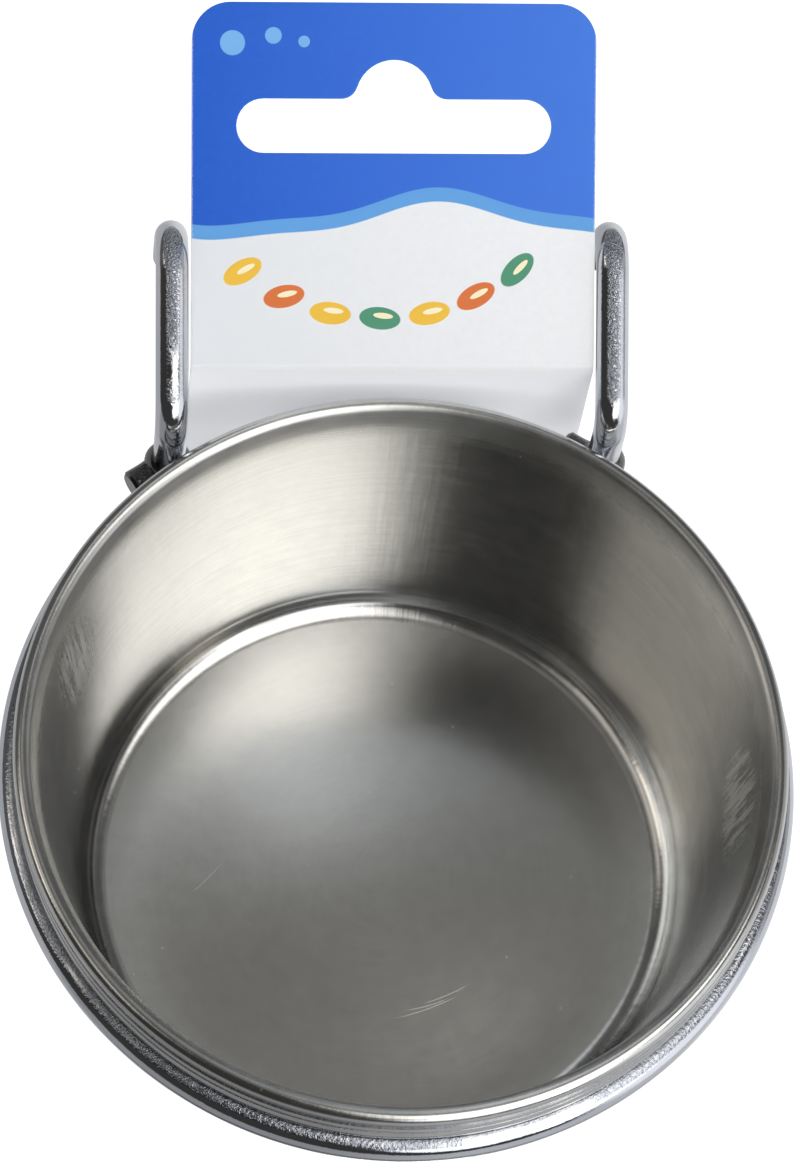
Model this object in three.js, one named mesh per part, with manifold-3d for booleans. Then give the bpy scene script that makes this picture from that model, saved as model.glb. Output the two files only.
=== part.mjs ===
// Hook-on feeding bowl: a pressed steel cup that sits loose in a chromed wire ring, two wire hooks welded to
// the ring, and a printed hang card between the hooks.
// Millimetres, +Z up. The origin is on the axis of the cage wire that the hooks hang on, midway between them.
// +X runs along that wire and +Y points away from the bowl.

import * as THREE from "three";
import { mergeVertices } from "three/addons/utils/BufferGeometryUtils.js";
import Module from "manifold-3d";

const wasm = await Module();
wasm.setup();

// Bowl
const RIM_DIAMETER = 92;
const RIM_ROLL_DIAMETER = 2.2;
const HEM_HEIGHT = 6;
const LIP_FLARE = 10;
const LIP_ANGLE = 25;
const SHEET = 0.6;
const BOWL_DEPTH = 43.4;
const FLOOR_DIAMETER = 73.6;
const FLOOR_FILLET = 3.2;
const FLOOR_CROWN = 1.2;
const STANDING_RING = 2.5;

// Wire ring
const WIRE_DIAMETER = 4;
const HEM_SEAT_GAP = 0.25;

// Hooks
const HOOK_SPACING = 53.3;
const HOOK_SLOPE = 26;
const RUN_LENGTH = 15.2;
const TOP_BEND = 4;
const RISER_BEND = 5;
const RISER_HEIGHT = 6.4;
const FOOT_BEND = 3.6;
const FOOT_LENGTH = 5.4;
const REAR_LEG = 5;
const WELD_GAP = 0.25;
const WELD_BEAD_DIAMETER = 6.2;
const WELD_BEAD_DROP = 2.6;

// Hang card
const CARD_THICKNESS = 0.5;
const CARD_SIDE_GAP = 0.25;
const CARD_SEAT_GAP = 0.3;
const CREASE_HEIGHT = 4;
const CREASE_GAP = 0.35;
const FLAP_LENGTH = 43.9;
const FLAP_SLOPE = 28;
const FLAP_CORNER = 4.7;
const SLOT_WIDTH = 38;
const SLOT_HEIGHT = 6.5;
const SLOT_FROM_TOP = 14.8;
const SLOT_BUMP = 4.7;
const SLOT_BUMP_FILLET = 2;
const PANEL_DROP = 21;
const TAB_WIDTH = 30;

// Facets
const BOWL_SIDES = 64;
const RING_SIDES = 64;
const WIRE_SIDES = 12;
const STEP_LENGTH = 1.1;
const ARC_POINTS = 5;
const CROWN_POINTS = 6;

const radians = THREE.MathUtils.degToRad;
const wireRadius = WIRE_DIAMETER / 2;
const rollRadius = RIM_ROLL_DIAMETER / 2;

// Bowl radii
const rollCentreRadius = RIM_DIAMETER / 2 - rollRadius;
const floorRadius = FLOOR_DIAMETER / 2;

// The lower edge of the hem rests on the crown of the ring
const hemInnerRadius = RIM_DIAMETER / 2 - SHEET;
const ringRadius = hemInnerRadius + SHEET / 2;
const seatHeight = HEM_HEIGHT + HEM_SEAT_GAP + wireRadius;

// Side view of a hook, back from the cage wire: rear leg, top bend, run, riser bend, riser
const slope = radians(HOOK_SLOPE);
const runEnd = new THREE.Vector2(-Math.sin(slope), Math.cos(slope)).multiplyScalar(TOP_BEND);
const runStart = runEnd.clone().sub(
  new THREE.Vector2(Math.cos(slope), Math.sin(slope)).multiplyScalar(RUN_LENGTH));
const riserBendCentre = runStart.clone().add(
  new THREE.Vector2(Math.sin(slope), -Math.cos(slope)).multiplyScalar(RISER_BEND));
const riserY = riserBendCentre.x - RISER_BEND;
const ringZ = riserBendCentre.y - RISER_HEIGHT;

// The risers stand against the outside of the ring, which places the ring and the bowl
const riserRadius = ringRadius + WIRE_DIAMETER + WELD_GAP;
const hookAngle = Math.acos(HOOK_SPACING / 2 / riserRadius);
const axisY = riserY - riserRadius * Math.sin(hookAngle);
const rimZ = ringZ + seatHeight;
const rimTopZ = rimZ + rollRadius;
const floorZ = rimTopZ - BOWL_DEPTH;

const brushedSteel = { color: 0x9a948a, roughness: 0.34, metalness: 1 };
const chromedWire = { color: 0xc9ccd0, roughness: 0.1, metalness: 1 };
const blueBoard = { color: 0x2f62c8, roughness: 0.5, metalness: 0 };
const whiteBoard = { color: 0xdfe2e8, roughness: 0.6, metalness: 0 };

function pieceOf(name, geometry, finish) {
  const mesh = new THREE.Mesh(geometry, new THREE.MeshStandardMaterial(finish));
  mesh.name = name;
  return mesh;
}

// Points on an arc about a centre, both ends included; angles in degrees
function arc(centreX, centreY, radius, from, to, count) {
  return Array.from({ length: count + 1 }, (_, i) => {
    const angle = radians(from + ((to - from) * i) / count);
    return new THREE.Vector2(centreX + radius * Math.cos(angle), centreY + radius * Math.sin(angle));
  });
}

function solidOf(geometry) {
  const bare = geometry.clone();
  bare.deleteAttribute("normal");
  bare.deleteAttribute("uv");
  const merged = mergeVertices(bare, 1e-4);
  return new wasm.Manifold(new wasm.Mesh({
    numProp: 3,
    vertProperties: new Float32Array(merged.attributes.position.array),
    triVerts: new Uint32Array(merged.index.array),
  }));
}

function geometryOf(solid) {
  const mesh = solid.getMesh();
  const geometry = new THREE.BufferGeometry();
  geometry.setAttribute("position", new THREE.BufferAttribute(new Float32Array(mesh.vertProperties), 3));
  geometry.setIndex(new THREE.BufferAttribute(new Uint32Array(mesh.triVerts), 1));
  geometry.computeVertexNormals();
  return geometry;
}

// Cup: outside of the floor, up the wall and the flared lip, under the roll, round the hem and back down inside.
// The floor is pressed up a little in the middle, so the cup stands on a flat ring next to the fillet.
function makeBowl() {
  const lipEnd = radians(180 - LIP_ANGLE);
  const lipX = rollCentreRadius + (rollRadius - LIP_FLARE) * Math.cos(lipEnd);
  const lipY = rimZ + (rollRadius - LIP_FLARE) * Math.sin(lipEnd);
  const lipReach = Math.hypot(lipX - floorRadius, lipY - floorZ);
  const lean = Math.atan2(lipX - floorRadius, lipY - floorZ) - Math.asin(LIP_FLARE / lipReach);
  const leanDegrees = THREE.MathUtils.radToDeg(lean);
  const cornerReach = FLOOR_FILLET * Math.tan((Math.PI / 2 - lean) / 2);
  const filletX = floorRadius - cornerReach;
  const filletY = floorZ + FLOOR_FILLET;
  const outerFillet = FLOOR_FILLET + SHEET;
  const hemZ = rimZ - HEM_HEIGHT;
  const crownRadius = filletX - STANDING_RING;
  const crown = Array.from({ length: CROWN_POINTS + 1 }, (_, i) => {
    const out = i / CROWN_POINTS;
    return new THREE.Vector2(crownRadius * out, floorZ + FLOOR_CROWN * (1 - out * out) ** 1.5);
  });
  const outside = arc(filletX, filletY, outerFillet, -90, -leanDegrees, ARC_POINTS);
  const underLip = arc(lipX, lipY, LIP_FLARE - SHEET, 180 - leanDegrees, 180 - LIP_ANGLE, ARC_POINTS);
  const underRoll = arc(rollCentreRadius, rimZ, rollRadius - SHEET, 180 - LIP_ANGLE, 0, ARC_POINTS);
  const overRoll = arc(rollCentreRadius, rimZ, rollRadius, 0, 180 - LIP_ANGLE, 2 * ARC_POINTS);
  const overLip = arc(lipX, lipY, LIP_FLARE, 180 - LIP_ANGLE, 180 - leanDegrees, ARC_POINTS);
  const inside = arc(filletX, filletY, FLOOR_FILLET, -leanDegrees, -90, ARC_POINTS);
  const profile = [
    ...crown.map((point) => new THREE.Vector2(point.x, point.y - SHEET)),
    ...outside,
    ...underLip,
    ...underRoll.slice(1),
    new THREE.Vector2(hemInnerRadius, hemZ),
    new THREE.Vector2(RIM_DIAMETER / 2, hemZ),
    ...overRoll,
    ...overLip.slice(1),
    ...inside,
    ...crown.reverse(),
  ];
  const geometry = new THREE.LatheGeometry(profile, BOWL_SIDES);
  geometry.rotateX(Math.PI / 2);
  const bowl = pieceOf("bowl", geometry, brushedSteel);
  bowl.position.y = axisY;
  return bowl;
}

// A torus about the bowl's axis, at the ring's height
function ringShape(tubeRadius) {
  const geometry = new THREE.TorusGeometry(ringRadius, tubeRadius, WIRE_SIDES, RING_SIDES);
  geometry.translate(0, axisY, ringZ);
  return geometry;
}

// A circular bend from one unit direction to another
class Bend extends THREE.Curve {
  constructor(start, from, to, radius) {
    super();
    const turn = from.angleTo(to);
    const inward = to.clone().addScaledVector(from, -from.dot(to)).normalize();
    Object.assign(this, { from, inward, radius, turn });
    this.centre = start.clone().addScaledVector(inward, radius);
  }

  getPoint(t, target = new THREE.Vector3()) {
    const angle = t * this.turn;
    return target.copy(this.centre)
      .addScaledVector(this.inward, -this.radius * Math.cos(angle))
      .addScaledVector(this.from, this.radius * Math.sin(angle));
  }
}

// A wire bent as a bender makes it: straight lengths and bends, one after the other
function bentWire(start, direction, moves) {
  const path = new THREE.CurvePath();
  let at = start.clone();
  let heading = direction.clone();
  for (const move of moves) {
    const curve = move.straight
      ? new THREE.LineCurve3(at.clone(), at.clone().addScaledVector(heading, move.straight))
      : new Bend(at, heading, move.to, move.radius);
    path.add(curve);
    at = curve.getPoint(1);
    heading = move.straight ? heading : move.to;
  }
  const section = new THREE.Shape();
  section.absarc(0, 0, wireRadius, 0, 2 * Math.PI);
  return new THREE.ExtrudeGeometry(section, {
    extrudePath: path,
    steps: Math.ceil(path.getLength() / STEP_LENGTH),
    curveSegments: WIRE_SIDES / 2,
  });
}

// Hook at one side of the ring (-1 left, +1 right); both feet point the same way round the ring
function makeHook(name, side) {
  const around = Math.PI / 2 - side * (Math.PI / 2 - hookAngle);
  const outward = new THREE.Vector3(Math.cos(around), Math.sin(around), 0);
  const footward = new THREE.Vector3(-Math.sin(around), Math.cos(around), 0);
  const up = new THREE.Vector3(0, 0, 1);
  const riser = new THREE.Vector3(0, axisY, ringZ).addScaledVector(outward, riserRadius);
  const footEnd = riser.clone().addScaledVector(footward, FOOT_LENGTH).addScaledVector(up, -FOOT_BEND);
  const wire = bentWire(footEnd, footward.clone().negate(), [
    { straight: FOOT_LENGTH - FOOT_BEND },
    { to: up, radius: FOOT_BEND },
    { straight: RISER_HEIGHT },
    { to: new THREE.Vector3(0, Math.cos(slope), Math.sin(slope)), radius: RISER_BEND },
    { straight: RUN_LENGTH },
    { to: up.clone().negate(), radius: TOP_BEND },
    { straight: REAR_LEG },
  ]);
  const bead = new THREE.SphereGeometry(WELD_BEAD_DIAMETER / 2, 2 * ARC_POINTS, ARC_POINTS);
  bead.translate(riser.x, riser.y, riser.z - WELD_BEAD_DROP);
  const solid = solidOf(wire).add(solidOf(bead)).subtract(solidOf(ringShape(wireRadius + WELD_GAP)));
  return pieceOf(name, geometryOf(solid), chromedWire);
}

// Hang card
const cardWidth = HOOK_SPACING - WIRE_DIAMETER - 2 * CARD_SIDE_GAP;
const panelFrontY = axisY + ringRadius + wireRadius + CARD_SEAT_GAP;
const creaseY = panelFrontY + CARD_THICKNESS / 2;
const creaseZ = rimZ + CREASE_HEIGHT;
const tabTopZ = ringZ - wireRadius - CARD_SEAT_GAP;

function boardOf(shape) {
  return new THREE.ExtrudeGeometry(shape, {
    depth: CARD_THICKNESS,
    bevelEnabled: false,
    curveSegments: 2 * ARC_POINTS,
  });
}

// Hanging slot with round ends and a round bump over its middle, about the slot's centre
function hangSlot(centreY) {
  const endRadius = SLOT_HEIGHT / 2;
  const endX = SLOT_WIDTH / 2 - endRadius;
  const edgeY = centreY + endRadius;
  const reach = Math.sqrt((SLOT_BUMP + SLOT_BUMP_FILLET) ** 2 - SLOT_BUMP_FILLET ** 2);
  const meet = Math.atan2(SLOT_BUMP_FILLET, reach);
  const slot = new THREE.Path();
  slot.moveTo(-endX, centreY - endRadius);
  slot.lineTo(endX, centreY - endRadius);
  slot.absarc(endX, centreY, endRadius, -Math.PI / 2, Math.PI / 2, false);
  slot.absarc(reach, edgeY + SLOT_BUMP_FILLET, SLOT_BUMP_FILLET, 1.5 * Math.PI, Math.PI + meet, true);
  slot.absarc(0, edgeY, SLOT_BUMP, meet, Math.PI - meet, false);
  slot.absarc(-reach, edgeY + SLOT_BUMP_FILLET, SLOT_BUMP_FILLET, -meet, -Math.PI / 2, true);
  slot.absarc(-endX, centreY, endRadius, Math.PI / 2, 1.5 * Math.PI, false);
  return slot;
}

function makeCardFlap() {
  const half = cardWidth / 2;
  const outline = new THREE.Shape();
  outline.moveTo(-half, CREASE_GAP);
  outline.lineTo(half, CREASE_GAP);
  outline.absarc(half - FLAP_CORNER, FLAP_LENGTH - FLAP_CORNER, FLAP_CORNER, 0, Math.PI / 2, false);
  outline.absarc(FLAP_CORNER - half, FLAP_LENGTH - FLAP_CORNER, FLAP_CORNER, Math.PI / 2, Math.PI, false);
  outline.closePath();
  outline.holes.push(hangSlot(FLAP_LENGTH - SLOT_FROM_TOP));
  const geometry = boardOf(outline);
  geometry.translate(0, 0, -CARD_THICKNESS / 2);
  const flap = pieceOf("card_flap", geometry, blueBoard);
  flap.position.set(0, creaseY, creaseZ);
  flap.rotation.x = radians(FLAP_SLOPE);
  return flap;
}

// Outline of the tab from its fold, cut round along the inner edge of the ring
function tabOutline(foldY) {
  const edgeRadius = ringRadius - wireRadius;
  const reach = Math.asin(TAB_WIDTH / 2 / edgeRadius);
  const tab = new THREE.Shape();
  tab.moveTo(TAB_WIDTH / 2, foldY);
  tab.lineTo(-TAB_WIDTH / 2, foldY);
  tab.absarc(0, foldY - panelFrontY + axisY, edgeRadius, Math.PI / 2 + reach, Math.PI / 2 - reach, true);
  tab.closePath();
  return tab;
}

// Upright panel behind the ring, with a tab cut out of it and folded forwards under the wire
function makeCardPanel() {
  const half = cardWidth / 2;
  const foldZ = tabTopZ - CARD_THICKNESS;
  const sheet = new THREE.Shape();
  sheet.moveTo(-half, rimZ - PANEL_DROP);
  sheet.lineTo(half, rimZ - PANEL_DROP);
  sheet.lineTo(half, creaseZ - CREASE_GAP);
  sheet.lineTo(-half, creaseZ - CREASE_GAP);
  sheet.closePath();
  sheet.holes.push(tabOutline(foldZ));
  const upright = boardOf(sheet);
  upright.rotateX(Math.PI / 2);
  upright.translate(0, panelFrontY + CARD_THICKNESS, 0);
  const tab = boardOf(tabOutline(panelFrontY + CARD_THICKNESS));
  tab.translate(0, 0, foldZ);
  return pieceOf("card_panel", geometryOf(solidOf(upright).add(solidOf(tab))), whiteBoard);
}

const hookOnBowl = new THREE.Group();
hookOnBowl.add(
  makeBowl(),
  pieceOf("holder_ring", ringShape(wireRadius), chromedWire),
  makeHook("left_hook", -1),
  makeHook("right_hook", 1),
  makeCardPanel(),
  makeCardFlap(),
);

export default hookOnBowl;
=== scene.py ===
"""Hook-on feeding bowl: a satin steel cup in a chromed wire ring, two wire hooks and a printed hang card."""

import math

import bpy
from mathutils import Matrix, Vector
from mathutils.geometry import tessellate_polygon


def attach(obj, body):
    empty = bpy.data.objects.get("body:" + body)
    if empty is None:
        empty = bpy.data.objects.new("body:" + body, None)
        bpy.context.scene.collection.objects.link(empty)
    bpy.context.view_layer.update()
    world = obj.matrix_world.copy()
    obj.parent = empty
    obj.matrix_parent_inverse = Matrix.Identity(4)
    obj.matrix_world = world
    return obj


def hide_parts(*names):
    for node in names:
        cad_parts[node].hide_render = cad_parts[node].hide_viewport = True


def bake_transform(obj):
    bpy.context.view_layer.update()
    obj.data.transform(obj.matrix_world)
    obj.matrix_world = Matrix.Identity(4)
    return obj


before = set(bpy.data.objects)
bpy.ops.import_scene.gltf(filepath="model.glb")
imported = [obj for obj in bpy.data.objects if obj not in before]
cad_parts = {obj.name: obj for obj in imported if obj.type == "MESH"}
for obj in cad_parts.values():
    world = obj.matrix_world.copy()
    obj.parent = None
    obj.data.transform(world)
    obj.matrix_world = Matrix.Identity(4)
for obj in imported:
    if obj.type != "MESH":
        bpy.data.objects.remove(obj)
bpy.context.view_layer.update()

MM = 0.001
MICRON = 0.000001
QUARTER = math.pi / 2

# Sizes in millimetres and angles in radians, the same as the part's
RIM_RADIUS = 46
ROLL_RADIUS = 1.1
HEM_HEIGHT = 6
LIP_FLARE = 10
LIP_ANGLE = math.radians(25)
SHEET = 0.6
BOWL_DEPTH = 43.4
FLOOR_RADIUS = 36.8
FLOOR_FILLET = 3.2
STANDING_RING = 2.5
WIRE_RADIUS = 2
HEM_SEAT_GAP = 0.25
HOOK_SPACING = 53.3
HOOK_SLOPE = math.radians(26)
RUN_LENGTH = 15.2
TOP_BEND = 4
RISER_BEND = 5
RISER_HEIGHT = 6.4
FOOT_BEND = 3.6
FOOT_LENGTH = 5.4
REAR_LEG = 5
WELD_GAP = 0.25
WELD_BEAD_RADIUS = 3.1
WELD_BEAD_DROP = 2.6
CARD_THICKNESS = 0.5
CARD_SIDE_GAP = 0.25
CARD_SEAT_GAP = 0.3
CREASE_HEIGHT = 4
FLAP_LENGTH = 43.9
FLAP_SLOPE = math.radians(28)
FLAP_CORNER = 4.7
SLOT_WIDTH = 38
SLOT_HEIGHT = 6.5
SLOT_FROM_TOP = 14.8
SLOT_BUMP = 4.7
SLOT_BUMP_FILLET = 2
PANEL_DROP = 21
TAB_WIDTH = 30

# Fine forms in millimetres: the floor's raised middle, the hem's step under the roll with its notch by depth in and
# depth down, the hem's grooves by depth below the middle of the roll, the dressed ends of the hooks and the bend of
# the card's crease
FLOOR_CROWN = 1.6
HEM_STEP = 0.25
HEM_NOTCH = ((0.08, 0.25), (0.1, 0.06))
HEM_GROOVES = (4.1, 2.5)
GROOVE_DEPTH = 0.27
GROOVE_MOUTH = 0.34
GROOVE_BED = 0.12
WIRE_CHAMFER = 0.35
CREASE_BEND = 0.7

# A weld bead stays within its radius: its mean size and the height of its lumps, as shares of that radius
BEAD_MEAN = 0.96
BEAD_LUMPS = 0.022

# Points round the bowl, round a wire and along the ring
BOWL_SIDES = 224
WIRE_SIDES = 32
RING_TURNS = 288

# Marks on the steel in millimetres: lighter, rougher patches on the wall by facing, depth, half width and half height,
# scratches on the floor by their ends from its middle, and stray scratches by turn, wander and seed
PALE_WALL_PATCHES = ((math.radians(-3), 12, 9, 9), (math.radians(157), 12, 7, 10))
SCRATCHES = (
    (0.6, -19.5, 10.2, -16), (2.2, -18.4, 8.6, -16.6), (4.4, -17.6, 11.4, -14.6),
    (-24, -3, -19, 2), (-6, 8, 3, 13))
SCRATCH_EDGE = 0.09
SCRATCH_CORE = 0.02
SCRATCH_BOW = 0.08
SCRATCH_WEIGHT = 0.55
STRAY_SCRATCHES = ((0.5, 21.0, 1.0), (2.1, 27.0, 4.0))

# Print on the card in millimetres from its middle and its crease: where the pale and the blue begin, the dots
# by place and radius, the seeds by place, turn and tint
PALE_FROM = 17.5
BLUE_FROM = 19.2
PRINT_EDGE = 0.06
DOTS = ((-19.5, 39, 1.5), (-14.6, 39.9, 1.0), (-10.9, 39.2, 0.7))
YELLOW = (236, 190, 62)
ORANGE = (214, 118, 56)
GREEN = (78, 150, 120)
SEEDS = (
    (-18.2, 11.6, 0.5, YELLOW), (-13.2, 8.6, 0.2, ORANGE), (-7.6, 6.6, -0.1, YELLOW), (-1.6, 6.0, -0.1, GREEN),
    (4.4, 6.6, 0.2, YELLOW), (10.0, 8.7, 0.5, ORANGE), (15.0, 11.9, 0.8, GREEN))
SEED_HALF_LENGTH = 2.5
SEED_HALF_WIDTH = 1.35
SHINE_HALF_LENGTH = 1.2
SHINE_HALF_WIDTH = 0.35

ring_radius = RIM_RADIUS - SHEET / 2
roll_centre = RIM_RADIUS - ROLL_RADIUS
run_end = Vector((-math.sin(HOOK_SLOPE), math.cos(HOOK_SLOPE))) * TOP_BEND
run_start = run_end - Vector((math.cos(HOOK_SLOPE), math.sin(HOOK_SLOPE))) * RUN_LENGTH
riser_bend = run_start + Vector((math.sin(HOOK_SLOPE), -math.cos(HOOK_SLOPE))) * RISER_BEND
ring_z = riser_bend.y - RISER_HEIGHT
riser_radius = ring_radius + 2 * WIRE_RADIUS + WELD_GAP
hook_angle = math.acos(HOOK_SPACING / 2 / riser_radius)
axis_y = riser_bend.x - RISER_BEND - riser_radius * math.sin(hook_angle)
rim_z = ring_z + HEM_HEIGHT + HEM_SEAT_GAP + WIRE_RADIUS
floor_z = rim_z + ROLL_RADIUS - BOWL_DEPTH
card_half = HOOK_SPACING / 2 - WIRE_RADIUS - CARD_SIDE_GAP
panel_front = axis_y + ring_radius + WIRE_RADIUS + CARD_SEAT_GAP
crease_y = panel_front + CARD_THICKNESS / 2
crease_z = rim_z + CREASE_HEIGHT
crease_turn = QUARTER - FLAP_SLOPE
crease_reach = CREASE_BEND * math.tan(crease_turn / 2)
tab_z = ring_z - WIRE_RADIUS - CARD_SEAT_GAP


# Shapes

def mesh_piece(name, points, faces, sharp=None, slots=None):
    """A smooth shaded piece from points in millimetres.

    Edges sharper than sharp degrees stay crisp, and slots gives each face the number of its finish.
    """
    mesh = bpy.data.meshes.new(name)
    mesh.from_pydata([Vector(p) * MM for p in points], [], faces)
    if slots:
        mesh.polygons.foreach_set("material_index", slots)
    mesh.validate()
    mesh.shade_smooth()
    if sharp:
        mesh.set_sharp_from_angle(angle=math.radians(sharp))
    piece = bpy.data.objects.new(name, mesh)
    bpy.context.collection.objects.link(piece)
    return piece


def arc(centre_x, centre_y, radius, start, end, count):
    """Points on an arc, both ends included; angles in radians."""
    angles = [start + (end - start) * i / count for i in range(count + 1)]
    return [(centre_x + radius * math.cos(a), centre_y + radius * math.sin(a)) for a in angles]


def line(start, end, count):
    """Points between two ends, the ends left out."""
    return [tuple(a + (b - a) * i / count for a, b in zip(start, end)) for i in range(1, count)]


def round_faces(rows, sides):
    """Faces of a round body whose points are its two ends on the axis, and then rows of points about it."""
    faces = []
    for k in range(sides):
        n = (k + 1) % sides
        faces.append((0, 2 + n, 2 + k))
        for r in range(rows - 1):
            low = 2 + r * sides
            high = low + sides
            faces.append((low + k, low + n, high + n, high + k))
        last = 2 + (rows - 1) * sides
        faces.append((1, last + k, last + n))
    return faces


def turned(name, profile, sides):
    """A body turned about the bowl's axis from a profile whose ends lie on that axis."""
    points = [(0, axis_y, profile[0][1]), (0, axis_y, profile[-1][1])]
    for radius, height in profile[1:-1]:
        for k in range(sides):
            a = 2 * math.pi * k / sides
            points.append((radius * math.cos(a), axis_y + radius * math.sin(a), height))
    return mesh_piece(name, points, round_faces(len(profile) - 2, sides))


def bend_path(at, heading, moves):
    """Points and headings of a wire bent by straight lengths and round bends, one after the other."""
    longest_step = 0.8
    widest_turn = 5
    path = [(at.copy(), heading.copy())]
    for move in moves:
        if "straight" in move:
            count = math.ceil(move["straight"] / longest_step)
            for i in range(1, count + 1):
                path.append((at + heading * (move["straight"] * i / count), heading.copy()))
            at = path[-1][0]
            continue
        to = move["to"]
        radius = move["radius"]
        turn = heading.angle(to)
        inward = (to - heading * heading.dot(to)).normalized()
        centre = at + inward * radius
        count = math.ceil(math.degrees(turn) / widest_turn)
        for i in range(1, count + 1):
            a = turn * i / count
            point = centre - inward * (radius * math.cos(a)) + heading * (radius * math.sin(a))
            path.append((point, heading * math.cos(a) + inward * math.sin(a)))
        at = path[-1][0]
        heading = to
    return path


def swept_wire(name, path):
    """A round wire along a path, with its cut ends dressed by a small chamfer."""
    heading = path[0][1]
    side = heading.orthogonal().normalized()
    rings = []
    for point, direction in path:
        side = (heading.rotation_difference(direction) @ side).normalized()
        heading = direction
        rings.append((point, side.copy(), direction.cross(side), WIRE_RADIUS))
    start_point, start_side, start_other = rings[0][:3]
    end_point, end_side, end_other = rings[-1][:3]
    rings[0] = (start_point + path[0][1] * WIRE_CHAMFER, start_side, start_other, WIRE_RADIUS)
    rings[-1] = (end_point - path[-1][1] * WIRE_CHAMFER, end_side, end_other, WIRE_RADIUS)
    rings.insert(0, (start_point, start_side, start_other, WIRE_RADIUS - WIRE_CHAMFER))
    rings.append((end_point, end_side, end_other, WIRE_RADIUS - WIRE_CHAMFER))
    points = []
    for point, across, other, radius in rings:
        for k in range(WIRE_SIDES):
            a = 2 * math.pi * k / WIRE_SIDES
            points.append(point + across * (radius * math.cos(a)) + other * (radius * math.sin(a)))
    faces = []
    for r in range(len(rings) - 1):
        low = r * WIRE_SIDES
        high = low + WIRE_SIDES
        for k in range(WIRE_SIDES):
            n = (k + 1) % WIRE_SIDES
            faces.append((low + k, low + n, high + n, high + k))
    last = (len(rings) - 1) * WIRE_SIDES
    faces.append(tuple(reversed(range(WIRE_SIDES))))
    faces.append(tuple(range(last, last + WIRE_SIDES)))
    return mesh_piece(name, points, faces, sharp=40)


def wire_ring(name):
    """The closed ring of wire that carries the cup."""
    points = []
    faces = []
    for t in range(RING_TURNS):
        a = 2 * math.pi * t / RING_TURNS
        here = t * WIRE_SIDES
        there = (t + 1) % RING_TURNS * WIRE_SIDES
        for k in range(WIRE_SIDES):
            b = 2 * math.pi * k / WIRE_SIDES
            reach = ring_radius + WIRE_RADIUS * math.cos(b)
            height = ring_z + WIRE_RADIUS * math.sin(b)
            points.append((reach * math.cos(a), axis_y + reach * math.sin(a), height))
            n = (k + 1) % WIRE_SIDES
            faces.append((here + k, there + k, there + n, here + n))
    return mesh_piece(name, points, faces)


def bowl_profile():
    """Outline of the pressed cup: underside, wall, flared lip, roll, hem and back down the inside."""
    lip_end = math.pi - LIP_ANGLE
    lip_x = roll_centre + (ROLL_RADIUS - LIP_FLARE) * math.cos(lip_end)
    lip_y = rim_z + (ROLL_RADIUS - LIP_FLARE) * math.sin(lip_end)
    reach = math.hypot(lip_x - FLOOR_RADIUS, lip_y - floor_z)
    lean = math.atan2(lip_x - FLOOR_RADIUS, lip_y - floor_z) - math.asin(LIP_FLARE / reach)
    wall_turn = math.pi - lean
    fillet_x = FLOOR_RADIUS - FLOOR_FILLET * math.tan((QUARTER - lean) / 2)
    fillet_y = floor_z + FLOOR_FILLET
    outside = arc(fillet_x, fillet_y, FLOOR_FILLET + SHEET, -QUARTER, -lean, 14)
    under_lip = arc(lip_x, lip_y, LIP_FLARE - SHEET, wall_turn, lip_end, 10)
    under = arc(roll_centre, rim_z, ROLL_RADIUS - SHEET, lip_end, 0, 8)

    # The hem stands a little inside the roll, which leaves a fine line between them
    hem_z = rim_z - HEM_HEIGHT
    hem_radius = RIM_RADIUS - HEM_STEP
    edge = arc(hem_radius - SHEET / 2, hem_z + SHEET / 2, SHEET / 2, -math.pi, 0, 8)
    step_turn = -math.acos((hem_radius - roll_centre) / ROLL_RADIUS)
    over = arc(roll_centre, rim_z, ROLL_RADIUS, step_turn, lip_end, 24)
    hem = [edge[-1]]
    for groove in HEM_GROOVES:
        for depth, up in ((0, -GROOVE_MOUTH), (GROOVE_DEPTH, -GROOVE_BED),
                          (GROOVE_DEPTH, GROOVE_BED), (0, GROOVE_MOUTH)):
            hem.append((hem_radius - depth, rim_z - groove + up))
    step = [(hem_radius - depth, over[0][1] - down) for depth, down in HEM_NOTCH]
    lip = arc(lip_x, lip_y, LIP_FLARE, lip_end, wall_turn, 16)

    # The floor is pressed up a little in the middle, so the cup stands on a flat ring
    inside = arc(fillet_x, fillet_y, FLOOR_FILLET, -lean, -QUARTER, 20)
    crown_radius = fillet_x - STANDING_RING
    crown = []
    crown_steps = 20
    for i in range(crown_steps + 1):
        out = 1 - i / crown_steps
        crown.append((crown_radius * out, floor_z + FLOOR_CROWN * (1 - out * out) ** 1.5))
    underside = [(radius, height - SHEET) for radius, height in reversed(crown)]
    return (underside + outside + line(outside[-1], under_lip[0], 10) + under_lip + under[1:] + edge[:-1]
            + hem + step + over + lip[1:] + line(lip[-1], inside[0], 16) + inside + crown)


def hook_wire(side):
    """Path of one hook: foot beside the ring, riser, sloping run, top bend and rear leg; and its riser's place."""
    around = QUARTER - side * (QUARTER - hook_angle)
    outward = Vector((math.cos(around), math.sin(around), 0))
    footward = Vector((-math.sin(around), math.cos(around), 0))
    up = Vector((0, 0, 1))
    riser = Vector((0, axis_y, ring_z)) + outward * riser_radius
    foot_end = riser + footward * FOOT_LENGTH - up * FOOT_BEND
    path = bend_path(foot_end, -footward, [
        {"straight": FOOT_LENGTH - FOOT_BEND},
        {"to": up, "radius": FOOT_BEND},
        {"straight": RISER_HEIGHT},
        {"to": Vector((0, math.cos(HOOK_SLOPE), math.sin(HOOK_SLOPE))), "radius": RISER_BEND},
        {"straight": RUN_LENGTH},
        {"to": -up, "radius": TOP_BEND},
        {"straight": REAR_LEG},
    ])
    return path, riser


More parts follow.
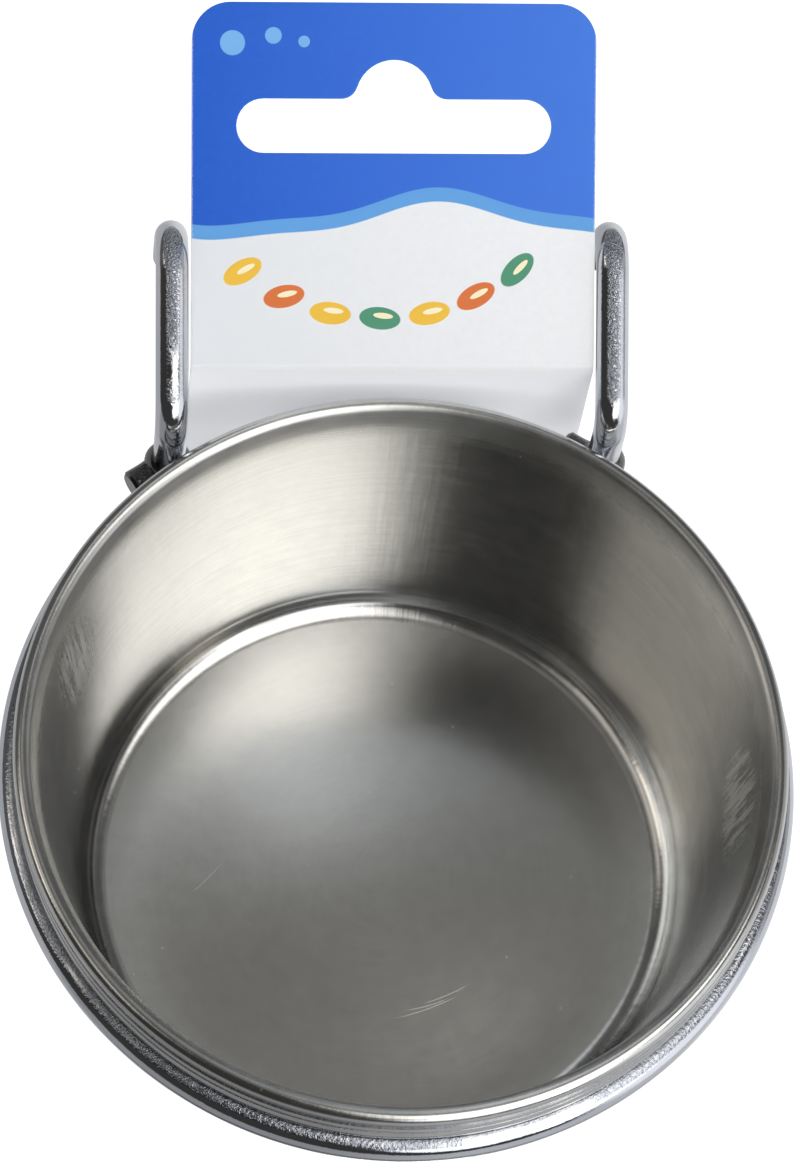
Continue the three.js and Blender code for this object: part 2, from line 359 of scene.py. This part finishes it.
def weld_bead(name, centre):
    """A lumpy bead of weld metal."""
    rows = 24
    sides = 40
    points = [centre - Vector((0, 0, WELD_BEAD_RADIUS)), centre + Vector((0, 0, WELD_BEAD_RADIUS))]
    for r in range(1, rows):
        tilt = math.pi * r / rows
        for k in range(sides):
            a = 2 * math.pi * k / sides
            lump = math.sin(3 * a + 1.7) * math.sin(2.3 * tilt) + 0.6 * math.sin(5 * a + 4 * tilt)
            radius = WELD_BEAD_RADIUS * (BEAD_MEAN + BEAD_LUMPS * lump * math.sin(tilt))
            out = Vector((math.sin(tilt) * math.cos(a), math.sin(tilt) * math.sin(a), -math.cos(tilt)))
            points.append(centre + out * radius)
    return mesh_piece(name, points, round_faces(rows - 1, sides))


# Hang card, drawn flat: across runs left to right, along runs from the crease to the top

# Numbers of the card's finishes
PRINTED = 0
BACK = 1
CUT_EDGE = 2


def slot_outline():
    """Hanging slot with round ends and a round bump over its middle."""
    centre = FLAP_LENGTH - SLOT_FROM_TOP
    end = SLOT_HEIGHT / 2
    end_x = SLOT_WIDTH / 2 - end
    top = centre + end
    reach = math.sqrt((SLOT_BUMP + SLOT_BUMP_FILLET) ** 2 - SLOT_BUMP_FILLET ** 2)
    meet = math.atan2(SLOT_BUMP_FILLET, reach)
    return (arc(end_x, centre, end, -QUARTER, QUARTER, 16)
            + arc(reach, top + SLOT_BUMP_FILLET, SLOT_BUMP_FILLET, 3 * QUARTER, math.pi + meet, 6)
            + arc(0, top, SLOT_BUMP, meet, math.pi - meet, 16)[1:]
            + arc(-reach, top + SLOT_BUMP_FILLET, SLOT_BUMP_FILLET, -meet, -QUARTER, 6)[1:]
            + arc(-end_x, centre, end, QUARTER, 3 * QUARTER, 16))


def tab_edge(fold):
    """Outline of the tab from its fold, cut round along the inner edge of the ring."""
    radius = ring_radius - WIRE_RADIUS
    reach = math.asin(TAB_WIDTH / 2 / radius)
    return [(TAB_WIDTH / 2, fold), (-TAB_WIDTH / 2, fold)] + arc(
        0, fold - panel_front + axis_y, radius, QUARTER + reach, QUARTER - reach, 20)


def folded(across, along, out):
    """Place of a flat card point after folding; out is the height above the middle of the board."""
    if along <= -crease_reach:
        return (across, crease_y - out, crease_z + along)
    if along >= crease_reach:
        y = crease_y + along * math.cos(FLAP_SLOPE) - out * math.sin(FLAP_SLOPE)
        return (across, y, crease_z + along * math.sin(FLAP_SLOPE) + out * math.cos(FLAP_SLOPE))
    a = crease_turn * (along + crease_reach) / (2 * crease_reach)
    radius = CREASE_BEND + out
    y = crease_y + CREASE_BEND - radius * math.cos(a)
    return (across, y, crease_z - crease_reach + radius * math.sin(a))


def clockwise(a, b, c):
    """Whether three flat points run clockwise."""
    return (b[0] - a[0]) * (c[1] - a[1]) - (b[1] - a[1]) * (c[0] - a[0]) < 0


def steps_of(ring):
    """Each point of a closed outline with the next one."""
    return zip(ring, ring[1:] + ring[:1])


def anticlockwise(ring):
    """Whether a closed flat outline runs anticlockwise."""
    return sum(p[0] * q[1] - q[0] * p[1] for p, q in steps_of(ring)) > 0


def hang_card():
    """One sheet of board from the foot of the panel over the crease to the top of the flap, and its tab."""
    half = CARD_THICKNESS / 2
    corner = card_half - FLAP_CORNER
    flap = ([(-card_half, crease_reach), (card_half, crease_reach)]
            + arc(corner, FLAP_LENGTH - FLAP_CORNER, FLAP_CORNER, 0, QUARTER, 12)
            + arc(-corner, FLAP_LENGTH - FLAP_CORNER, FLAP_CORNER, QUARTER, math.pi, 12))
    foot = rim_z - PANEL_DROP - crease_z
    panel = [(-card_half, foot), (card_half, foot), (card_half, -crease_reach), (-card_half, -crease_reach)]
    window = tab_edge(tab_z - CARD_THICKNESS - crease_z)
    points = []
    flat = []
    faces = []
    slots = []
    number = {}

    def corner_of(across, along, out):
        """Number of the mesh point at a flat place, made when it is first asked for."""
        key = (round(across, 4), round(along, 4), out)
        if key not in number:
            number[key] = len(points)
            points.append(folded(across, along, out))
            flat.append((across, along, out))
        return number[key]

    def wall(p, q):
        """Cut edge of the board between two flat points."""
        faces.append((corner_of(*p, half), corner_of(*p, -half), corner_of(*q, -half), corner_of(*q, half)))
        slots.append(CUT_EDGE)

    def board(outline, hole, joined_at):
        """A flat stretch of board round a hole, with cut edges but for the side that joins the crease."""
        rings = [outline, hole]
        corners = outline + hole
        for triangle in tessellate_polygon([[Vector((*p, 0)) for p in ring] for ring in rings]):
            a, b, c = (corners[i] for i in triangle)
            if clockwise(a, b, c):
                b, c = c, b
            faces.append(tuple(corner_of(*p, half) for p in (a, b, c)))
            faces.append(tuple(corner_of(*p, -half) for p in (c, b, a)))
            slots.extend((PRINTED, BACK))
        for ring in rings:
            for p, q in steps_of(ring if anticlockwise(ring) == (ring is outline) else ring[::-1]):
                if p[1] != q[1] or p[1] != joined_at:
                    wall(p, q)

    board(flap, slot_outline(), crease_reach)
    board(panel, window, -crease_reach)
    steps = 10
    rows = [-crease_reach + 2 * crease_reach * i / steps for i in range(steps + 1)]
    left, right = -card_half, card_half
    for low, high in zip(rows, rows[1:]):
        faces.append((corner_of(left, low, half), corner_of(right, low, half),
                      corner_of(right, high, half), corner_of(left, high, half)))
        faces.append((corner_of(left, high, -half), corner_of(right, high, -half),
                      corner_of(right, low, -half), corner_of(left, low, -half)))
        slots.extend((PRINTED, BACK))
        wall((right, low), (right, high))
        wall((left, high), (left, low))

    tab = tab_edge(panel_front)
    tops = []
    bottoms = []
    for across, y in tab:
        for group, z in ((tops, tab_z), (bottoms, tab_z - CARD_THICKNESS)):
            group.append(len(points))
            points.append((across, y, z))
            flat.append((across, tab_z - crease_z - (panel_front - y), half))
    for triangle in tessellate_polygon([[Vector((*p, 0)) for p in tab]]):
        order = triangle[::-1] if clockwise(*(tab[i] for i in triangle)) else triangle
        faces.append(tuple(tops[i] for i in order))
        faces.append(tuple(bottoms[i] for i in reversed(order)))
        slots.extend((BACK, PRINTED))
    for i, n in steps_of(list(range(len(tab)))):
        side = (tops[i], tops[n], bottoms[n], bottoms[i])
        faces.append(side[::-1] if anticlockwise(tab) else side)
        slots.append(CUT_EDGE)

    card = mesh_piece("hang_card", points, faces, sharp=25, slots=slots)
    print_place = card.data.attributes.new("print_place", "FLOAT_VECTOR", "POINT")
    print_place.data.foreach_set("vector", [v for place in flat for v in place])
    return card


# Finishes

class Value:
    """A shader socket that sums and products can be written with."""

    def __init__(self, finish, socket):
        self.finish = finish
        self.socket = socket

    def maths(self, operation, *others):
        return self.finish.maths(operation, self, *others)

    def __add__(self, other):
        return self.maths("ADD", other)

    __radd__ = __add__

    def __sub__(self, other):
        return self.maths("SUBTRACT", other)

    def __rsub__(self, other):
        return self.finish.maths("SUBTRACT", other, self)

    def __mul__(self, other):
        return self.maths("MULTIPLY", other)

    __rmul__ = __mul__

    def __truediv__(self, other):
        return self.maths("DIVIDE", other)

    def __rtruediv__(self, other):
        return self.finish.maths("DIVIDE", other, self)

    def __pow__(self, other):
        return self.maths("POWER", other)

    def __abs__(self):
        return self.maths("ABSOLUTE")

    def at_most(self, limit):
        return self.maths("MINIMUM", limit)

    def within(self, low, high):
        """0 at low and 1 at high, smooth between; low may be the larger."""
        sockets = {"Value": self, "From Min": min(low, high), "From Max": max(low, high)}
        if low > high:
            sockets.update({"To Min": 1.0, "To Max": 0.0})
        return self.finish.node("MapRange", {"interpolation_type": "SMOOTHSTEP"}, sockets, "Result")


class Finish:
    """The nodes of one material or of the studio's surround."""

    def __init__(self, owner):
        owner.use_nodes = True
        self.owner = owner
        self.tree = owner.node_tree
        self.tree.nodes.clear()

    def node(self, kind, settings, sockets, output=0):
        """A node of that type with its settings and sockets; gives the named output."""
        node = self.tree.nodes.new("ShaderNode" + kind)
        for key, value in settings.items():
            setattr(node, key, value)
        for key, value in sockets.items():
            if isinstance(value, Value):
                self.tree.links.new(value.socket, node.inputs[key])
            else:
                node.inputs[key].default_value = value
        return Value(self, node.outputs[output])

    def maths(self, operation, *terms):
        return self.node("Math", {"operation": operation}, dict(enumerate(terms)))

    def split(self, vector):
        return [self.node("SeparateXYZ", {}, {"Vector": vector}, axis) for axis in "XYZ"]

    def join(self, x, y, z):
        return self.node("CombineXYZ", {}, {"X": x, "Y": y, "Z": z})

    def noise(self, place, scale, detail=2.0, roughness=0.5):
        sockets = {"Vector": place, "Scale": scale, "Detail": detail, "Roughness": roughness}
        return self.node("TexNoise", {}, sockets, "Fac")

    def mix(self, share, first, second):
        """Second colour over the first, by share."""
        return self.node("Mix", {"data_type": "RGBA"}, {0: share, 6: first, 7: second}, 2)

    def bump(self, height, strength, distance):
        return self.node("Bump", {}, {"Strength": strength, "Distance": distance, "Height": height})

    def surface(self, **sockets):
        """The finished material, from the sockets of its one shader."""
        self.node_out("OutputMaterial", self.node("BsdfPrincipled", {}, sockets))
        return self.owner

    def node_out(self, kind, shader):
        end = self.tree.nodes.new("ShaderNode" + kind)
        self.tree.links.new(shader.socket, end.inputs["Surface"])


def new_finish(name):
    return Finish(bpy.data.materials.new(name))


def colour(red, green, blue):
    """A colour as it looks on the screen, 0 to 255, for a shader."""
    return tuple(((v / 255 + 0.055) / 1.055) ** 2.4 for v in (red, green, blue)) + (1.0,)


def satin_steel(name, roughness, brushing):
    """Pressed stainless steel with specks and scratches: brushed round the wall, or plain on the floor."""
    f = new_finish(name)
    place = f.node("TexCoord", {}, {}, "Object")
    x, y, z = f.split(place)
    y = y - axis_y * MM
    radius = (x * x + y * y) ** 0.5 + 1e-5
    round_x = x / radius
    round_y = y / radius

    def around(waves, rise, detail, contrast):
        """Noise that runs round the cup."""
        return f.noise(f.join(round_x * waves, round_y * waves, rise), 1.0, detail, contrast)

    def pale_wall_patches():
        """Lighter, rougher patches on the inside of the wall, where it faces the middle of the cup."""
        normal_x, normal_y = f.split(f.node("NewGeometry", {}, {}, "Normal"))[:2]
        within_cup = (normal_x * round_x + normal_y * round_y).within(0.0, -0.5)
        fray = around(60, z * 90, 3.0, 0.7).within(0.36, 0.62)
        pale_marks = 0.0
        for facing, depth, half_width, half_height in PALE_WALL_PATCHES:
            aside = (round_y * math.cos(facing) - round_x * math.sin(facing)) * RIM_RADIUS / half_width
            outward = (round_x * math.cos(facing) + round_y * math.sin(facing)).within(0.0, 0.5)
            below = (z / MM - rim_z + depth) / half_height
            pale_marks = pale_marks + (aside * aside + below * below).within(1.0, 0.1) * outward * fray * within_cup
        return pale_marks

    def scratches():
        """Bowed single scratches across the floor."""
        pale_marks = 0.0
        for start_x, start_y, end_x, end_y in SCRATCHES:
            turn = math.atan2(end_y - start_y, end_x - start_x)
            half = math.hypot(end_x - start_x, end_y - start_y) / 2
            from_x = x / MM - (start_x + end_x) / 2
            from_y = y / MM - (start_y + end_y) / 2
            along = (from_x * math.cos(turn) + from_y * math.sin(turn)) / half
            bow = (along * along - 1) * half * SCRATCH_BOW
            across = from_y * math.cos(turn) - from_x * math.sin(turn) - bow
            width = abs(across).within(SCRATCH_EDGE, SCRATCH_CORE)
            pale_marks = pale_marks + width * abs(along).within(1.0, 0.3) * SCRATCH_WEIGHT
        return pale_marks

    brushed = around(2.5, (radius + z) * 2600, 4.0, 0.65).within(0.25, 0.75)
    cloud = f.noise(place, 60.0, 3.0)
    spots = f.node("TexVoronoi", {}, {"Vector": place, "Scale": 420.0, "Randomness": 1.0}, "Distance")
    specks = spots.within(0.10, 0.05) * f.noise(place, 150.0, 1.0).within(0.60, 0.68)
    stray = 0.0
    for turn, wander, seed in STRAY_SCRATCHES:
        along = x * math.cos(turn) + y * math.sin(turn) + seed
        across = y * math.cos(turn) - x * math.sin(turn) + f.noise(place, wander, 1.0) * 0.012
        streak = f.noise(f.join(along * 45, across * 1700, z * 900), 1.0, 1.0)
        stray = stray + streak.within(0.80, 0.83)
    wear = (stray * 0.6 + specks).at_most(1.0)
    if brushing:
        lines = brushed
        blotch = f.noise(place, 240.0, 5.0, 0.7).within(0.3, 0.7)
        ripple = around(9, z * 30, 3.0, 0.6)
        drawn = around(26, z * 14, 4.0, 0.7)
        relief = ripple * 24 + drawn * 14
        pale_marks = pale_wall_patches().at_most(1.0)
    else:
        lines = brushed * 0.25 + 0.37
        blotch = f.noise(place, 420.0, 5.0, 0.7).within(0.3, 0.7) * 0.4 + 0.3
        relief = cloud * 50 + blotch * 4
        pale_marks = scratches().at_most(1.0)
    tone = f.mix(lines * 0.35 + cloud * 0.35 + blotch * 0.3, colour(181, 181, 179), colour(210, 210, 207))
    tone = f.mix((wear * 0.3 + pale_marks * 0.7).at_most(1.0), tone, colour(238, 237, 234))
    near_rim = (z / MM).within(rim_z - 5, rim_z - 0.5)
    lip = near_rim * (radius / MM).within(roll_centre + 0.2, roll_centre - 0.8)
    return f.surface(**{
        "Base Color": tone,
        "Metallic": 1.0,
        "Roughness": (roughness + lines * 0.03 + cloud * 0.03 + blotch * 0.03
                      + wear * 0.1 + lip * 0.16 + pale_marks * 0.32),
        "Anisotropic": brushing,
        "Anisotropic Rotation": 0.25,
        "Normal": f.bump(lines * 2.2 + wear * 2.0 + relief, 1.0, MICRON),
    })


def chromed_wire(name, low_darkened, pebbling):
    """Bright chrome over drawn wire, pebbled in patches along its top, which are also painted darker and bluer as a
    painted dark reflection; the hooks' wire is coloured darker low down, about its weld.
    """
    f = new_finish(name)
    place = f.node("TexCoord", {}, {}, "Object")
    pebble = f.noise(place, 2600.0, 3.0, 0.6).within(0.35, 0.65)
    swell = f.noise(place, 500.0, 2.0)
    cloud = f.noise(place, 90.0, 2.0)
    upward = f.split(f.node("NewGeometry", {}, {}, "Normal"))[2]
    # Painted dark reflection: patches on the top of the wire are painted darker and bluer, and are pebbled more
    pebbled_painted_dark = upward.within(0.8, 0.89) * cloud.within(0.3, 0.5)
    tone = f.mix(cloud, colour(190, 194, 201), colour(220, 221, 225))
    tone = f.mix(pebbled_painted_dark * 0.7, tone, colour(122, 128, 140))
    # Coloured darker from a little above the ring down to the foot and the weld, with a wavy edge
    if low_darkened:
        height = f.split(place)[2] / MM
        low_darkening = (height + (swell - 0.5) * 4).within(ring_z + 3.4, ring_z - 0.6)
        tone = f.mix(low_darkening * 0.85, tone, colour(62, 58, 55))
    return f.surface(**{
        "Base Color": tone,
        "Metallic": 1.0,
        "Roughness": 0.06 + cloud * 0.05 + pebbled_painted_dark * 0.06,
        "Normal": f.bump(pebble * (pebbled_painted_dark * pebbling + 3) + swell * 14, 1.0, MICRON),
    })


def printed_card():
    """Coated board: blue head with a wavy edge over white, with plain dots and seeds."""
    f = new_finish("printed_card")
    place = f.node("Attribute", {"attribute_name": "print_place"}, {}, "Vector")
    across, along = f.split(place)[:2]

    def blob(centre_x, centre_y, half_length, half_width, turn):
        """An oval spot, 1 inside."""
        dx = across - centre_x
        dy = along - centre_y
        u = (dx * math.cos(turn) + dy * math.sin(turn)) / half_length
        v = (dy * math.cos(turn) - dx * math.sin(turn)) / half_width
        return ((u * u + v * v) ** 0.5).within(1.03, 0.97)

    def past(height):
        """1 above a wavy line at this height."""
        return (along - (wave + height)).within(-PRINT_EDGE, PRINT_EDGE)

    mottle = f.noise(place, 1.1, 4.0, 0.6)
    grain = f.noise(place, 9.0, 2.0)
    wave = (across * 0.13 + 0.8).maths("SINE") * 2.1 + (across * 0.31).maths("SINE") * 0.5
    # Painted light: the white board and the blue print are painted lighter towards the right, the side the light comes
    # from
    painted_light_rightward = across * 0.02 + 0.5
    blue = f.mix(painted_light_rightward, colour(2, 88, 198), colour(58, 122, 219))
    blue = f.mix((mottle - 0.3) * 0.25, blue, colour(60, 122, 210))
    white = f.mix(painted_light_rightward, colour(222, 226, 231), colour(240, 243, 247))
    white = f.mix(mottle * 0.5, white, colour(216, 221, 229))
    # Painted light: the panel below the crease is painted a brighter white than the flap, to lift it out of its shade
    below = (along + 0.2).within(0.3, -0.3)
    sheet = f.mix(below, white, colour(250, 251, 254))
    sheet = f.mix(past(PALE_FROM), sheet, colour(96, 162, 222))
    sheet = f.mix(past(BLUE_FROM), sheet, blue)
    for dot_x, dot_y, size in DOTS:
        sheet = f.mix(blob(dot_x, dot_y, size, size, 0), sheet, colour(120, 178, 230))
    for seed_x, seed_y, turn, tint in SEEDS:
        seed = blob(seed_x, seed_y, SEED_HALF_LENGTH, SEED_HALF_WIDTH, turn)
        shine = blob(seed_x + 0.4, seed_y + 0.3, SHINE_HALF_LENGTH, SHINE_HALF_WIDTH, turn)
        sheet = f.mix(seed, sheet, colour(*tint))
        sheet = f.mix(shine, sheet, colour(250, 236, 200))
    # Painted highlight: the board is painted lighter along the crease, where the bend catches the light
    painted_crease_highlight = abs(along + grain * 0.3 - 0.15).within(0.55, 0.1)
    sheet = f.mix(painted_crease_highlight * (0.25 + grain * 0.5), sheet, colour(248, 248, 248))
    edge = (abs(across) + (grain - 0.5) * 0.5).within(card_half - 0.22, card_half)
    sheet = f.mix(edge * 0.55, sheet, colour(236, 238, 244))

    # Painted light: the board glows a little, the flap at about half its print colour, so less through the print, and
    # the panel below the crease in near white, to lift the panel out of its shade
    flap_painted_glow = f.mix(0.52, sheet, colour(0, 0, 0))
    return f.surface(**{
        "Base Color": sheet,
        "Roughness": 0.42 + mottle * 0.14,
        "Emission Color": f.mix(below, flap_painted_glow, colour(240, 244, 252)),
        "Emission Strength": 0.25,
        "Specular IOR Level": 0.3,
        "Subsurface Weight": 0.5,
        "Subsurface Radius": (1, 1, 1),
        "Subsurface Scale": 1.5 * MM,
        "Normal": f.bump(grain * 0.5 + mottle * 0.5, 0.12, 80 * MICRON),
    })


def plain_board(name, tone, shade):
    """The bare back or the cut edge of the board, with its fibres."""
    f = new_finish(name)
    place = f.node("Attribute", {"attribute_name": "print_place"}, {}, "Vector")
    fibre = f.noise(place, 6.0, 4.0, 0.7)
    return f.surface(**{
        "Base Color": f.mix(fibre, tone, shade),
        "Roughness": 0.75 + fibre * 0.15,
        "Normal": f.bump(fibre, 0.3, 60 * MICRON),
    })


def pale_floor():
    """Plain pale sweep under the part, lit from within so that it stays white."""
    f = new_finish("pale_floor")
    place = f.node("TexCoord", {}, {}, "Object")
    cloud = f.noise(place, 9.0, 2.0)
    return f.surface(**{
        "Base Color": f.mix(cloud, colour(138, 138, 140), colour(142, 142, 144)),
        "Roughness": 0.9,
        "Specular IOR Level": 0.1,
        "Emission Color": colour(255, 255, 255),
        "Emission Strength": 1.0,
    })


# The part

# Faces of the bowl's floor: their inset from the wall, their rise, how much they face up and the number of their finish
FLOOR_INSET = 3
FLOOR_RISE = 2
FLOOR_FACING = 0.9
FLOOR_FINISH = 1

bowl = turned("steel_bowl", bowl_profile(), BOWL_SIDES)
bowl.data.materials.append(satin_steel("satin_steel", 0.13, 0.7))
bowl.data.materials.append(satin_steel("floor_steel", 0.14, 0.0))
for face in bowl.data.polygons:
    x, y, z = face.center / MM
    low_within = math.hypot(x, y - axis_y) < FLOOR_RADIUS - FLOOR_INSET and z < floor_z + FLOOR_RISE
    if low_within and face.normal.z > FLOOR_FACING:
        face.material_index = FLOOR_FINISH
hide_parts("bowl")
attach(bowl, "cup")

chrome = chromed_wire("chromed_wire", False, 22)
low_darkened_chrome = chromed_wire("low_darkened_chrome", True, 90)

ring = wire_ring("wire_ring")
ring.data.materials.append(chrome)
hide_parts("holder_ring")
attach(ring, "holder")

for word, side in (("left", -1), ("right", 1)):
    path, riser = hook_wire(side)
    wire = swept_wire(word + "_wire", path)
    bead = weld_bead(word + "_weld", riser - Vector((0, 0, WELD_BEAD_DROP)))
    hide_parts(word + "_hook")
    for piece in (wire, bead):
        piece.data.materials.append(low_darkened_chrome)
        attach(piece, "holder")

card = hang_card()
card.data.materials.append(printed_card())
card.data.materials.append(plain_board("board_back", colour(226, 227, 229), colour(238, 238, 239)))
card.data.materials.append(plain_board("board_edge", colour(214, 217, 224), colour(238, 240, 244)))
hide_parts("card_panel", "card_flap")
crease_y * MM
(crease_y + crease_reach * math.cos(FLAP_SLOPE)) * MM
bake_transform(card)


# Studio

FLOOR_HALF = 1500
FLOOR_GAP = 0.3

floor_height = floor_z - SHEET - FLOOR_GAP
floor = mesh_piece("floor", [(-FLOOR_HALF, -FLOOR_HALF, floor_height), (FLOOR_HALF, -FLOOR_HALF, floor_height),
                             (FLOOR_HALF, FLOOR_HALF, floor_height), (-FLOOR_HALF, FLOOR_HALF, floor_height)],
                   [(0, 1, 2, 3)])
floor.data.materials.append(pale_floor())
floor.visible_glossy = False

# Lights on the sky laid flat as a disc, with the zenith at its middle and the horizon 1 from there,
# each by its left, right, front and back edge
BEHIND = (-0.08, 0.2, 0.28, 0.75)
SPILL = (-0.468, -0.26, -0.21, 0.28)
LEFT_BOX = (-0.712, -0.5, -0.04, 0.21)
STRIP = (0.672, 0.812, -0.3, 0.14)
STRIP_TURN = math.radians(-37)

# Round fills by direction, inner and outer edge in degrees, tint and strength
FILLS = (
    ((0.87, -0.45, 0.2), 14, 30, (250, 251, 255), 1.2),
    ((0.27, -0.82, 0.5), 6, 18, (250, 251, 255), 2.6),
    ((0.95, 0.20, 0.25), 8, 24, (255, 255, 255), 0.5))

PALE_GROUND = (250, 251, 253)


def surround():
    """Soft boxes of light over a dim room, and a paler ground to the right than to the left."""
    world = bpy.data.worlds.new("studio")
    bpy.context.scene.world = world
    f = Finish(world)
    sky = f.node("TexCoord", {}, {}, "Generated")
    x, y, z = f.split(sky)
    reach = (z + 1).maths("MAXIMUM", 0.05) ** 0.5
    flat_x = x / reach
    flat_y = y / reach

    def glow(tone, strength):
        return tuple(c * strength for c in colour(*tone)[:3]) + (1.0,)

    def band(value, low, high, soft):
        """1 between two edges, which are this soft."""
        return value.within(low - soft, low + soft) * value.within(high + soft, high - soft)

    def box(across, along, edges, soft_across, soft_along):
        """1 inside a soft-edged box."""
        left, right, front, back = edges
        return band(across, left, right, soft_across) * band(along, front, back, soft_along)

    def spot(direction, inner, outer):
        """A round patch of sky about a direction; inner and outer edge in degrees."""
        aim = tuple(Vector(direction).normalized())
        facing = f.node("VectorMath", {"operation": "DOT_PRODUCT"}, {0: sky, 1: aim}, "Value")
        return facing.within(math.cos(math.radians(outer)), math.cos(math.radians(inner)))

    def ground_tone(left, right):
        """The pale ground, by its strength on the left and on the right."""
        return f.mix(x.within(-0.3, 0.4), glow(PALE_GROUND, left), glow(PALE_GROUND, right))

    # A dim room, paler at the back, over a pale ground that is dimmer in front and dark close to the part
    back_wall = f.mix(abs(flat_x - 0.05).within(0.24, 0.12), glow((250, 250, 252), 0.12), glow((255, 252, 246), 0.23))
    room = f.mix(flat_y.within(-0.11, 0.13), glow((250, 248, 246), 0.05), back_wall)
    ground = f.mix(y.within(-0.1, -0.4), ground_tone(0.55, 0.9), ground_tone(0.36, 0.7))
    ground = f.mix(y.within(-0.1, -0.3) * z.within(-0.66, -0.84), ground, ground_tone(0.12, 0.4))
    light = f.mix(z.within(-0.10, 0.0), ground, room)

    # Weak light from behind, which the floor of the cup mirrors
    behind_tone = f.mix(flat_x.within(0.13, -0.05), glow((246, 252, 255), 0.34), glow((248, 252, 255), 1.15))
    light = f.mix(box(flat_x, flat_y, BEHIND, 0.05, 0.08), light, behind_tone)

    # Side box on the left, warmed by the room, with a weak spill towards the middle
    spill_tone = f.mix(flat_x.within(-0.34, -0.46), glow((255, 250, 242), 0.5), glow((255, 248, 238), 1.3))
    light = f.mix(box(flat_x, flat_y, SPILL, 0.06, 0.04), light, spill_tone)
    left_tone = f.mix(flat_x.within(-0.5, -0.712), glow((255, 250, 242), 0.35), glow((255, 246, 234), 2.7))
    light = f.mix(box(flat_x, flat_y, LEFT_BOX, 0.06, 0.05), light, left_tone)

    # Low strip on the right, and round fills in front of it and beside it
    strip_out = flat_x * math.cos(STRIP_TURN) + flat_y * math.sin(STRIP_TURN)
    strip_along = flat_y * math.cos(STRIP_TURN) - flat_x * math.sin(STRIP_TURN)
    light = f.mix(box(strip_out, strip_along, STRIP, 0.03, 0.08), light, glow((252, 251, 250), 7.0))
    for direction, inner, outer, tint, strength in FILLS:
        light = f.mix(spot(direction, inner, outer), light, glow(tint, strength))

    # Main box overhead on the right, cut slanting at its back
    slanted = flat_y - (flat_x - 0.15) * 0.25
    main_box = (flat_x.within(-0.08, 0.15) * flat_x.within(0.53, 0.39)
                * flat_y.within(-0.56, -0.44) * slanted.within(0.11, -0.08))
    light = f.mix(main_box, light, glow((255, 252, 248), 3.25))
    f.node_out("OutputWorld", f.node("Background", {}, {"Color": light, "Strength": 1.0}))


surround()

# Camera at the photograph's angle, fitted in millimetres about the rim's centre and in pixels of its frame
CAMERA_TURN = math.radians(11.346)
CAMERA_HEIGHT = math.radians(67.123)
CAMERA_LEAN = math.radians(-10.413)
CAMERA_SHIFT_X = 0.28
CAMERA_SHIFT_Y = -20.237
CAMERA_DISTANCE = 678
FOCAL_PIXELS = 5732.8
FRAME_PIXELS = 1164
SENSOR = 36

right = Vector((1, 0, 0))
up = Vector((0, math.sin(CAMERA_HEIGHT), math.cos(CAMERA_HEIGHT)))
look = Vector((0, math.cos(CAMERA_HEIGHT), -math.sin(CAMERA_HEIGHT)))
view_right = right * math.cos(CAMERA_LEAN) - up * math.sin(CAMERA_LEAN)
view_up = right * math.sin(CAMERA_LEAN) + up * math.cos(CAMERA_LEAN)
stand = -view_right * CAMERA_SHIFT_X - view_up * CAMERA_SHIFT_Y - look * CAMERA_DISTANCE
unturn = Matrix.Rotation(-CAMERA_TURN, 3, "Z")
axes = [unturn @ v for v in (view_right, view_up, -look)]
camera = bpy.data.objects.new("camera", bpy.data.cameras.new("camera"))
camera.matrix_world = (Matrix.Translation((unturn @ stand + Vector((0, axis_y, rim_z))) * MM)
                       @ Matrix(axes).transposed().to_4x4())
camera.data.sensor_width = SENSOR
camera.data.lens = SENSOR * FOCAL_PIXELS / FRAME_PIXELS
camera.data.clip_start = 10 * MM
bpy.context.collection.objects.link(camera)
bpy.context.scene.camera = camera
bpy.context.scene.view_settings.view_transform = "Standard"
